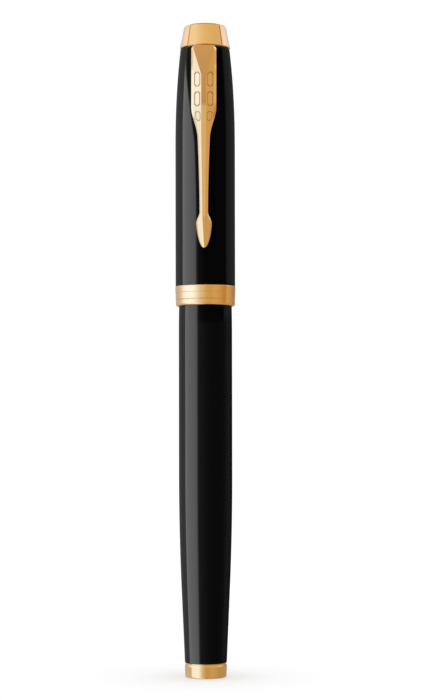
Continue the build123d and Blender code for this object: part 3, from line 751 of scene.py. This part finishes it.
class PEN_OT_crown(bpy.types.Operator):
    """Makes the gilt crown on top of the cap."""

    bl_idname = "pen.crown"
    bl_label = "Gilt crown"

    def execute(self, context):
        sizes = context.scene.pen_sizes
        crown, shell, plug = Extent("cap_crown"), Extent("cap_shell"), Extent("cap_plug")
        seat = plug.radius - 0.05
        base = shell.top + 0.12
        base_radius = sizes.cap_top_radius / MM + 0.13
        corners = [
            (0, crown.top),
            (sizes.crown_top_radius / MM, crown.top, sizes.crown_edge / MM),
            (base_radius, base + 0.14, 0.03),
            (base_radius - 0.14, base, 0.03),
            (seat, base, 0.05),
            (seat, crown.base),
            (1.5, crown.base),
            (1.5, base + 2.4),
            (0, base + 2.4),
        ]
        turned("gilt_crown", corners, "cap_body", "gilt_polished", "cap_crown", closed=False)
        return {"FINISHED"}


class PEN_OT_cap_liner(bpy.types.Operator):
    """Makes the moulded inner cap."""

    bl_idname = "pen.cap_liner"
    bl_label = "Inner cap"

    def execute(self, context):
        liner, clutch, nose = Extent("cap_liner"), Extent("clutch_ring"), Extent("nose_cone")
        bore, outer, tip = 5.15, 5.5, 3.0
        step, cone = 86.8, nose.base + 0.5
        cone_top = cone + 5.15
        detent = clutch.base - 0.2, clutch.top + 0.2
        corners = [
            (bore, liner.base, 0.12),
            (outer, liner.base, 0.06),
            (outer, step),
            (liner.radius, step, 0.1),
            (liner.radius, nose.base, 0.3),
            (liner.radius - 0.2, cone + 1.2, 0.3),
            (tip + 1.2, cone_top + 1.2, 0.3),
            (tip + 1.2, liner.top, 0.3),
            (0, liner.top),
            (0, liner.top - 1.2),
            (tip, liner.top - 1.2, 0.2),
            (tip, cone_top, 0.4),
            (bore, cone, 0.4),
            (bore, detent[1], 0.03),
            (bore + 0.08, detent[1], 0.03),
            (bore + 0.08, detent[0], 0.03),
            (bore, detent[0], 0.03),
        ]
        turned("inner_cap", corners, "cap_body", "inner_grey", "cap_liner")
        return {"FINISHED"}


# ------------------------------------------------------------------ the clip
def ease(value, low, high):
    """Rises smoothly from 0 to 1 as a value goes from low to high."""
    part = min(1.0, max(0.0, (value - low) / (high - low)))
    return part * part * (3 - 2 * part)


def slide(value, low, high):
    """Rises evenly from 0 to 1 as a value goes from low to high."""
    return min(1.0, max(0.0, (value - low) / (high - low)))


class ClipShape:
    """The clip's outline, ridge and bent profile at each height, in millimetres."""

    def __init__(self, sizes):
        clip, shell = Extent("clip"), Extent("cap_shell")
        self.top, self.tip = clip.top, clip.base
        self.face = clip.front
        self.shell_radius = shell.radius
        self.half = sizes.clip_half_width / MM
        self.ridge_half = sizes.clip_ridge / MM
        self.slope = math.tan(sizes.clip_facet)
        self.thickness = 0.95
        self.plate_base = self.top - 13.3
        self.stem_top = self.top - 18.2
        self.pad_top = self.tip + 6.8
        self.pad_widest = self.tip + 5.0
        self.corner = 0.75

    def width(self, z):
        """Half the width of the outline: a plate, a shoulder, a stem and a leaf."""
        stem = 0.87 + 0.47 * slide(z, self.pad_top, self.stem_top) ** 1.8
        wide = stem + (self.half - stem) * ease(z, self.stem_top - 1.1, self.plate_base + 0.3)
        if z < self.pad_widest:
            fall = (self.pad_widest - z) / (self.pad_widest - self.tip)
            return 1.62 * math.sqrt(max(0.0, 1 - fall**1.5))
        if z < self.pad_top + 0.5:
            return 1.62 + (wide - 1.62) * ease(z, self.pad_widest, self.pad_top + 0.5)
        into_corner = max(0.0, z - (self.top - self.corner))
        return wide - self.corner + math.sqrt(max(0.0, self.corner**2 - into_corner**2))

    def ridge(self, z):
        """Half the width of the flat ridge: a wide V at the top that runs down to a point at the tip."""
        v_part = slide(z, self.top - 6.2, self.top - 0.9)
        down = self.ridge_half * (0.6 + 0.4 * slide(z, self.pad_top, self.stem_top))
        point = down * slide(z, self.tip + 0.4, self.pad_top)
        return min(point + (self.half - 0.5 - point) * v_part, self.width(z) - self.rim(z) - 0.04)

    def distance(self, z):
        """How far the front of the ridge stands from the pen's axis."""
        sloped = max(0.0, z - self.plate_base)
        bend = min(sloped, 2.0) ** 2 / 4.0 + max(0.0, sloped - 2.0)
        plate = self.face - bend * 1.1 / 12.3
        pad = 1.25 * ease(-z, -self.pad_top - 0.5, -self.tip + 0.5) ** 1.1
        return plate - pad

    def rim(self, z):
        """Width of the bright bevel along the clip's edge."""
        return min(0.17 * self.width(z), 0.42)

    def back(self, z):
        """How far the back of the clip stands from the axis; it dips to the cap at the pad."""
        dip = math.exp(-(((z - self.tip - 1.8) / 1.5) ** 2))
        free = self.distance(z) - self.thickness
        return free + (self.shell_radius + 0.05 - free) * dip


def clip_rows(shape):
    """Heights of the clip's cross-sections, closer together where it bends."""
    rows = [shape.tip + 0.02 + 0.5 * (k / 8) ** 2 for k in range(8)]
    rows += [shape.tip + 0.52 + (shape.pad_top + 0.6 - shape.tip - 0.52) * k / 22 for k in range(22)]
    rows += [shape.pad_top + 0.6 + (shape.stem_top - 1 - shape.pad_top - 0.6) * k / 20 for k in range(20)]
    rows += [shape.stem_top - 1 + (shape.top - 0.9 - shape.stem_top + 1) * k / 70 for k in range(70)]
    rows += [shape.top - 0.9 + 0.9 * math.sin(k / 14 * math.pi / 2) for k in range(14)]
    return rows + [shape.top - 0.001]


def engrave(bm, shape, faces_at, depth):
    """Engraves the outline of three plain panels on each side facet, and gives the grooves' faces the second material,
    a rougher gilt darkened as painted shade in the lines.
    """
    panels = ((shape.top - 5.6, shape.top - 8.9), (shape.top - 9.7, shape.top - 13.0),
              (shape.top - 13.8, shape.top - 16.3))
    for side in (-1, 1):
        for high, low in panels:
            region = faces_at(side, low, high)
            grain = min(edge.calc_length() for face in region for edge in face.edges)
            for part, step in ((0.24, -depth), (0.42, 0.0), (0.24, depth)):
                made = bmesh.ops.inset_region(bm, faces=region, thickness=part * grain, depth=step * MM,
                                              use_even_offset=True, use_boundary=True)
                # Groove faces take the rougher, darkened gilt: painted shade in the engraved lines.
                for face in made["faces"]:
                    face.material_index = 1


class PEN_OT_clip(bpy.types.Operator):
    """Makes the gilt clip: plate with a V facet and engraved panels, ridged stem and leaf-shaped pad."""

    bl_idname = "pen.clip"
    bl_label = "Gilt clip"

    def execute(self, context):
        sizes = context.scene.pen_sizes
        shape = ClipShape(sizes)
        rows = clip_rows(shape)
        facet_steps = 8
        columns = 2 * (facet_steps + 2)
        bm = bmesh.new()
        bmesh.ops.create_grid(bm, x_segments=columns, y_segments=len(rows) - 1, size=1.0)
        cell = {}
        for vert in bm.verts:
            column = round((vert.co.x + 1) / 2 * columns) - columns // 2
            row = round((vert.co.y + 1) / 2 * (len(rows) - 1))
            cell[vert] = column, row
        for vert, (column, row) in cell.items():
            z = rows[row]
            width, ridge = shape.width(z), shape.ridge(z)
            rim = shape.rim(z)
            steps = abs(column)
            facet = max(0, min(steps - 1, facet_steps)) / facet_steps
            across = min(1, steps) * ridge + facet * (width - rim - ridge)
            fall = facet * (width - rim - ridge) * shape.slope
            if steps > facet_steps + 1:
                across, fall = width, fall + 1.25 * rim
            room = shape.distance(z) - shape.back(z) - 0.12
            fall = min(fall, room)
            vert.co = Vector((math.copysign(across, column), fall - shape.distance(z), z)) * MM
        bmesh.ops.recalc_face_normals(bm, faces=bm.faces)
        if sum(f.normal.y for f in bm.faces) > 0:
            bmesh.ops.reverse_faces(bm, faces=bm.faces)

        def faces_at(side, low, high):
            """Front faces inside one panel, without its corner cells."""
            found = []
            for face in bm.faces:
                corners = [cell[v] for v in face.verts if v in cell]
                if len(corners) < 4:
                    continue
                inner = min(abs(c) for c, r in corners)
                heights = [rows[r] for c, r in corners]
                on_side = all(c * side > 0 for c, r in corners)
                at_end = min(heights) < low + 0.24 or max(heights) > high - 0.24
                edge = 2 + (1 if at_end else 0)
                if on_side and edge <= inner < facet_steps + 2 - edge and low <= min(heights) and max(heights) <= high:
                    found.append(face)
            return found

        back_geom = bmesh.ops.extrude_face_region(bm, geom=list(bm.faces), use_keep_orig=True)["geom"]
        for vert in (g for g in back_geom if isinstance(g, bmesh.types.BMVert)):
            vert.co.y = -shape.back(vert.co.z / MM) * MM
        engrave(bm, shape, faces_at, sizes.engraving_depth / MM)
        bmesh.ops.remove_doubles(bm, verts=bm.verts, dist=1e-7)
        bmesh.ops.recalc_face_normals(bm, faces=bm.faces)
        root_low = shape.top - 0.65
        boxes = (((-2.1, -6.3, root_low), (2.1, -3.7, shape.top)),
                 ((-1.5, -4.4, root_low - 1.25), (1.5, -3.7, root_low + 0.3)))
        for low, high in boxes:
            low, high = Vector(low) * MM, Vector(high) * MM
            place = Matrix.Translation((low + high) / 2) @ Matrix.Diagonal((*(high - low), 1))
            bmesh.ops.create_cube(bm, size=1.0, matrix=place)
        clip = settled("gilt_clip", bm, "clip_body", "gilt_stamped", ("clip",), math.radians(9))
        # Second material, for the engraved grooves: rougher gilt darkened as painted shade.
        clip.data.materials.append(FINISHES["gilt_rough_painted_shade"])
        return {"FINISHED"}


# ------------------------------------------------------------------ pieces kept from the frame
class PEN_OT_inner_pieces(bpy.types.Operator):
    """Gives the pieces that stay as the frame has them their finishes."""

    bl_idname = "pen.inner_pieces"
    bl_label = "Inner pieces"

    def execute(self, context):
        kept = {
            "bare_brass": ("section_core", "barrel_bushing", "cap_plug"),
            "bright_steel": ("crown_screw", "crown_washer"),
            "inner_grey": ("spring_seat",),
            "soaked_fibre": ("ink_reservoir", "feed_wick"),
        }
        for material, nodes in kept.items():
            for node in nodes:
                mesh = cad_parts[node].data
                mesh.materials.clear()
                mesh.materials.append(FINISHES[material])
        return {"FINISHED"}


# ------------------------------------------------------------------ the studio
CAMERA_AZIMUTH = 2.2
CAMERA_DISTANCE = 0.403
CAMERA_HEIGHT = 0.0515
CAMERA_ROLL = -0.09
CAMERA_SHIFT = 0.06
WALL_DISTANCE = 6.0
SOFTBOX_STOPS = ((-98.5, 0), (-97, 2.35), (-81, 2.3), (-62, 2.2), (-53, 2.1), (-45, 1.9), (-40, 1.7),
                 (-37, 1.45), (-34.5, 0.3), (-28, 0))
ROOM_LEFT = ((-180, 0.08), (-161, 0.13), (-134, 0.24), (-117, 0.32), (-103, 0.46), (-97, 0.4), (-86, 0.08))
ROOM_LOW = (*ROOM_LEFT, (-40, 0.22), (-25, 0.15), (0, 0.09), (20, 0.06), (57, 0.045), (89, 0.06), (103, 0.1),
            (118, 0.1), (137, 0.03), (180, 0.03))
ROOM_HIGH = (*ROOM_LEFT, (-50, 0.08), (-28, 0.09), (-20, 0.05), (0, 0.01), (20, 0.01), (40, 0.015), (84, 0.015),
             (91, 0.15), (99, 0.19), (112, 0.17), (128, 0.13), (143, 0.1), (164, 0.05), (180, 0.03))
GILT_BELOW = ((-180, (0.4, 0.4, 0.5)), (-121, (0.66, 0.66, 0.85)), (-88, (0.66, 0.66, 0.85)),
              (-84, (1.04, 1.36, 2.68)), (-40, (1.04, 1.36, 2.6)), (-30, (0.86, 1.01, 1.63)),
              (-17, (0.71, 0.68, 0.7)), (-3, (0.62, 0.5, 0.36)), (12, (0.58, 0.44, 0.29)),
              (34, (0.62, 0.52, 0.37)), (60, (0.59, 0.48, 0.33)), (80, (0.53, 0.41, 0.29)),
              (110, (0.49, 0.44, 0.36)), (180, (0.4, 0.36, 0.35)))
GILT_LOW = ((-180, (0.5, 0.5, 0.7)), (-121, (0.66, 0.67, 0.9)), (-104, (0.85, 0.95, 1.6)),
            (-92, (1.05, 1.45, 3.1)), (-60, (1.12, 1.6, 3.5)), (-43, (1.0, 1.42, 3.1)), (-31, (0.9, 1.08, 1.9)),
            (-19, (0.78, 0.8, 1.1)), (-7, (0.76, 0.72, 0.75)), (6, (0.64, 0.53, 0.43)), (20, (0.64, 0.48, 0.32)),
            (38, (0.7, 0.53, 0.38)), (64, (0.6, 0.44, 0.3)), (78, (0.52, 0.31, 0.12)), (83, (0.52, 0.31, 0.12)),
            (94, (0.68, 0.55, 0.4)), (115, (0.55, 0.45, 0.34)), (140, (0.38, 0.26, 0.17)), (180, (0.5, 0.48, 0.5)))
GILT_MIDDLE = ((-180, (0.5, 0.5, 0.7)), (-118, (1.02, 1.11, 1.64)), (-97, (1.02, 1.11, 1.64)),
               (-90, (1.06, 1.45, 3.0)), (-34, (1.06, 1.45, 3.0)), (-22, (0.75, 0.75, 0.9)),
               (-12, (0.54, 0.41, 0.32)), (6, (0.5, 0.35, 0.26)), (18, (0.52, 0.35, 0.2)),
               (30, (0.7, 0.55, 0.42)), (64, (0.74, 0.6, 0.5)), (90, (0.95, 0.95, 1.1)),
               (120, (1.0, 1.08, 1.9)), (180, (0.5, 0.48, 0.5)))
GILT_HIGH = ((-180, (0.6, 0.6, 0.8)), (-118, (1.02, 1.11, 1.64)), (-97, (1.02, 1.11, 1.64)),
             (-95, (0.42, 0.24, 0.08)), (-92, (0.42, 0.24, 0.08)), (-89, (0.95, 1.0, 1.35)),
             (-55, (0.94, 0.99, 1.28)), (-24, (0.86, 0.83, 0.9)), (6, (0.82, 0.72, 0.63)),
             (53, (0.75, 0.65, 0.54)), (86, (0.78, 0.68, 0.67)), (89, (0.38, 0.22, 0.06)),
             (94, (0.38, 0.22, 0.06)), (97, (1.0, 1.08, 1.9)), (120, (1.0, 1.08, 1.9)), (153, (0.5, 0.42, 0.4)),
             (180, (0.6, 0.6, 0.7)))
GILT_TOP = (0.55, 0.4, 0.2)


def around(azimuth, distance, height):
    """A point round the pen; azimuth 0 is towards the camera and grows to its right, in degrees."""
    angle = math.radians(azimuth + CAMERA_AZIMUTH)
    return Vector((math.sin(angle) * distance, -math.cos(angle) * distance, height))


def aimed(location, target):
    """A matrix that places something at a location, looking at a target."""
    turn = (Vector(target) - Vector(location)).to_track_quat("-Z", "Y")
    return Matrix.Translation(location) @ turn.to_matrix().to_4x4()


def by_azimuth(shading, azimuth, stops):
    """A glow that changes with azimuth, from stops in degrees."""
    spaced = [((degrees + 180) / 360, shade) for degrees, shade in stops]
    return shading.node("ShaderNodeValToRGB", {"stops": spaced}, {"Fac": (azimuth + 180) / 360})


def lacquer_glow(shading, azimuth, elevation):
    """What the lacquer mirrors: a tall softbox to the left with a slanting top, in a dark room."""
    room = shading.blend(
        elevation.between(3.9, 4.6),
        by_azimuth(shading, azimuth, ROOM_LOW),
        by_azimuth(shading, azimuth, ROOM_HIGH),
    )
    slants = elevation + azimuth * 0.214, elevation + azimuth * 0.119 - 7.0
    below_top = slants[0].between(0.9, -0.9) * slants[1].between(0.9, -0.9)
    softbox = by_azimuth(shading, azimuth, [(place, shade / 4) for place, shade in SOFTBOX_STOPS])
    lit = shading.blend(below_top, (0, 0, 0), softbox)
    return shading.node("ShaderNodeVectorMath", {"operation": "MULTIPLY_ADD"}, {0: lit, 1: (4, 4, 4), 2: room})


def gilt_glow(shading, azimuth, elevation):
    """What the metals mirror: cool light to the left, warm light to the right."""
    scale = 4.0
    below, low, middle, high = (
        by_azimuth(shading, azimuth, [(place, tuple(part / scale for part in shade)) for place, shade in stops])
        for stops in (GILT_BELOW, GILT_LOW, GILT_MIDDLE, GILT_HIGH)
    )
    lowest = shading.blend(elevation.between(-4.0, -1.0), below, low)
    lower = shading.blend(elevation.between(11.0, 16.0), lowest, middle)
    upper = shading.blend(elevation.between(22.0, 24.0), lower, high)
    whole = shading.blend(elevation.between(40.0, 60.0), upper, tuple(part / scale for part in GILT_TOP))
    return shading.node("ShaderNodeVectorMath", {"operation": "SCALE"}, {0: whole, "Scale": scale})


def light_box(name, glow, pieces):
    """Four walls and a ceiling of light, far round the pen, that light only some pieces."""
    sides = [(around(turn, WALL_DISTANCE, 0.07), (0, 0, 0.07)) for turn in (0, 90, 180, 270)]
    sides.append(((0, 0, WALL_DISTANCE + 0.07), (0, 0.001, 0)))
    sides.append(((0, 0, -WALL_DISTANCE + 0.07), (0, 0.001, 0.07)))
    for index, (location, target) in enumerate(sides):
        light = bpy.data.lights.new(f"{name}_{index}", "AREA")
        light.size = 2 * WALL_DISTANCE
        light.energy = math.pi * light.size**2
        light.use_nodes = True
        shading = Shading(light.node_tree)
        place = shading.node("ShaderNodeNewGeometry", output="Position")
        split = {axis: shading.node("ShaderNodeSeparateXYZ", {}, {0: place}, output=axis) for axis in "XYZ"}
        turn = split["X"].math("ARCTAN2", split["Y"] * -1).math("DEGREES") - CAMERA_AZIMUTH
        azimuth = turn.math("WRAP", 180.0, -180.0)
        away = (split["X"] * split["X"] + split["Y"] * split["Y"]).math("SQRT")
        elevation = (split["Z"] - 0.07).math("ARCTAN2", away).math("DEGREES")
        emission = shading.node("ShaderNodeEmission", {}, {"Color": glow(shading, azimuth, elevation)})
        shading.node("ShaderNodeOutputLight", {}, {"Surface": emission})
        lamp = bpy.data.objects.new(light.name, light)
        lamp.matrix_world = aimed(location, target)
        lamp.visible_camera = False
        lamp.light_linking.receiver_collection = pieces
        bpy.context.scene.collection.objects.link(lamp)


def lit_group(name, gilded):
    """A collection of the gilt and brass pieces, or of the others, for the lights to choose from."""
    warm = {"gilt_polished", "gilt_brushed", "gilt_stamped", "bare_brass"}
    made = bpy.data.collections.new(name)
    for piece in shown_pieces():
        finish = piece.data.materials[0].name
        if (finish in warm) == gilded:
            made.objects.link(piece)
    return made


class PEN_OT_studio(bpy.types.Operator):
    """Makes the pale floor, the soft lights and the camera."""

    bl_idname = "pen.studio"
    bl_label = "Studio"

    def execute(self, context):
        scene = context.scene
        scene.view_settings.view_transform = "Standard"
        self.world(scene)
        light_box("cool_light", lacquer_glow, lit_group("other_pieces", False))
        light_box("warm_light", gilt_glow, lit_group("gilt_pieces", True))
        self.floor(scene)
        self.camera(scene)
        return {"FINISHED"}

    def floor(self, scene):
        """A wide pale floor, left out of reflections."""
        make = Finish("pale_floor")
        material = make.surface(
            Base_Color=make.blend(make.noise(6.0), (0.98, 0.98, 0.98), (0.965, 0.965, 0.965)),
            Roughness=0.85,
            Specular_IOR_Level=0.0,
            Emission_Color=(1.0, 1.0, 1.0, 1.0),
            Emission_Strength=0.05,
        )
        bm = bmesh.new()
        bmesh.ops.create_circle(bm, cap_ends=True, segments=96, radius=60.0)
        bmesh.ops.translate(bm, verts=bm.verts, vec=(0, 0, -0.00002))
        mesh = bpy.data.meshes.new("pale_floor")
        bm.to_mesh(mesh)
        bm.free()
        mesh.materials.append(material)
        floor = bpy.data.objects.new("pale_floor", mesh)
        floor.visible_glossy = False
        floor.visible_shadow = False
        scene.collection.objects.link(floor)
        floor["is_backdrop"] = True

    def world(self, scene):
        """An even white surround that lights the floor but isn't mirrored by the pen."""
        world = bpy.data.worlds.new("white_surround")
        world.use_nodes = True
        background = world.node_tree.nodes["Background"]
        background.inputs["Color"].default_value = (1, 1, 1, 1)
        background.inputs["Strength"].default_value = 1.04
        world.cycles_visibility.glossy = False
        scene.world = world

    def camera(self, scene):
        """The camera, a little to the right of the clip and low beside the barrel."""
        lens = bpy.data.cameras.new("camera")
        lens.sensor_width = 36.0
        lens.lens = 97.7
        lens.shift_y = CAMERA_SHIFT
        lens.clip_start = 0.01
        camera = bpy.data.objects.new("camera", lens)
        spot = around(0, CAMERA_DISTANCE, CAMERA_HEIGHT)
        beside = around(90, 0.00254, 0.0602)
        roll = Matrix.Rotation(math.radians(CAMERA_ROLL), 4, "Z")
        camera.matrix_world = aimed(spot, beside) @ roll
        scene.collection.objects.link(camera)
        scene.camera = camera


class PEN_PT_panel(bpy.types.Panel):
    """Lists the steps that build the pen."""

    bl_idname = "PEN_PT_panel"
    bl_label = "Rollerball pen"
    bl_space_type = "VIEW_3D"
    bl_region_type = "UI"
    bl_category = "Pen"

    def draw(self, context):
        for step in STEPS:
            self.layout.operator(step.bl_idname)


STEPS = (
    PEN_OT_finishes,
    PEN_OT_barrel,
    PEN_OT_barrel_end,
    PEN_OT_trim_ring,
    PEN_OT_section,
    PEN_OT_refill,
    PEN_OT_spring,
    PEN_OT_cap_shell,
    PEN_OT_cap_band,
    PEN_OT_crown,
    PEN_OT_cap_liner,
    PEN_OT_clip,
    PEN_OT_inner_pieces,
    PEN_OT_studio,
)
CLASSES = (PEN_PG_sizes, PEN_PG_finishes, *STEPS, PEN_PT_panel)


def register():
    """Adds the pen's settings, steps and panel to Blender."""
    for item in CLASSES:
        bpy.utils.register_class(item)
    bpy.types.Scene.pen_sizes = PointerProperty(type=PEN_PG_sizes)
    bpy.types.Scene.pen_finishes = PointerProperty(type=PEN_PG_finishes)


def unregister():
    """Takes them away again."""
    del bpy.types.Scene.pen_finishes
    del bpy.types.Scene.pen_sizes
    for item in reversed(CLASSES):
        bpy.utils.unregister_class(item)


def main():
    """Builds the pen and its studio."""
    register()
    for step in STEPS:
        group_name, name = step.bl_idname.split(".")
        getattr(getattr(bpy.ops, group_name), name)()


if __name__ == "__main__":
    main()
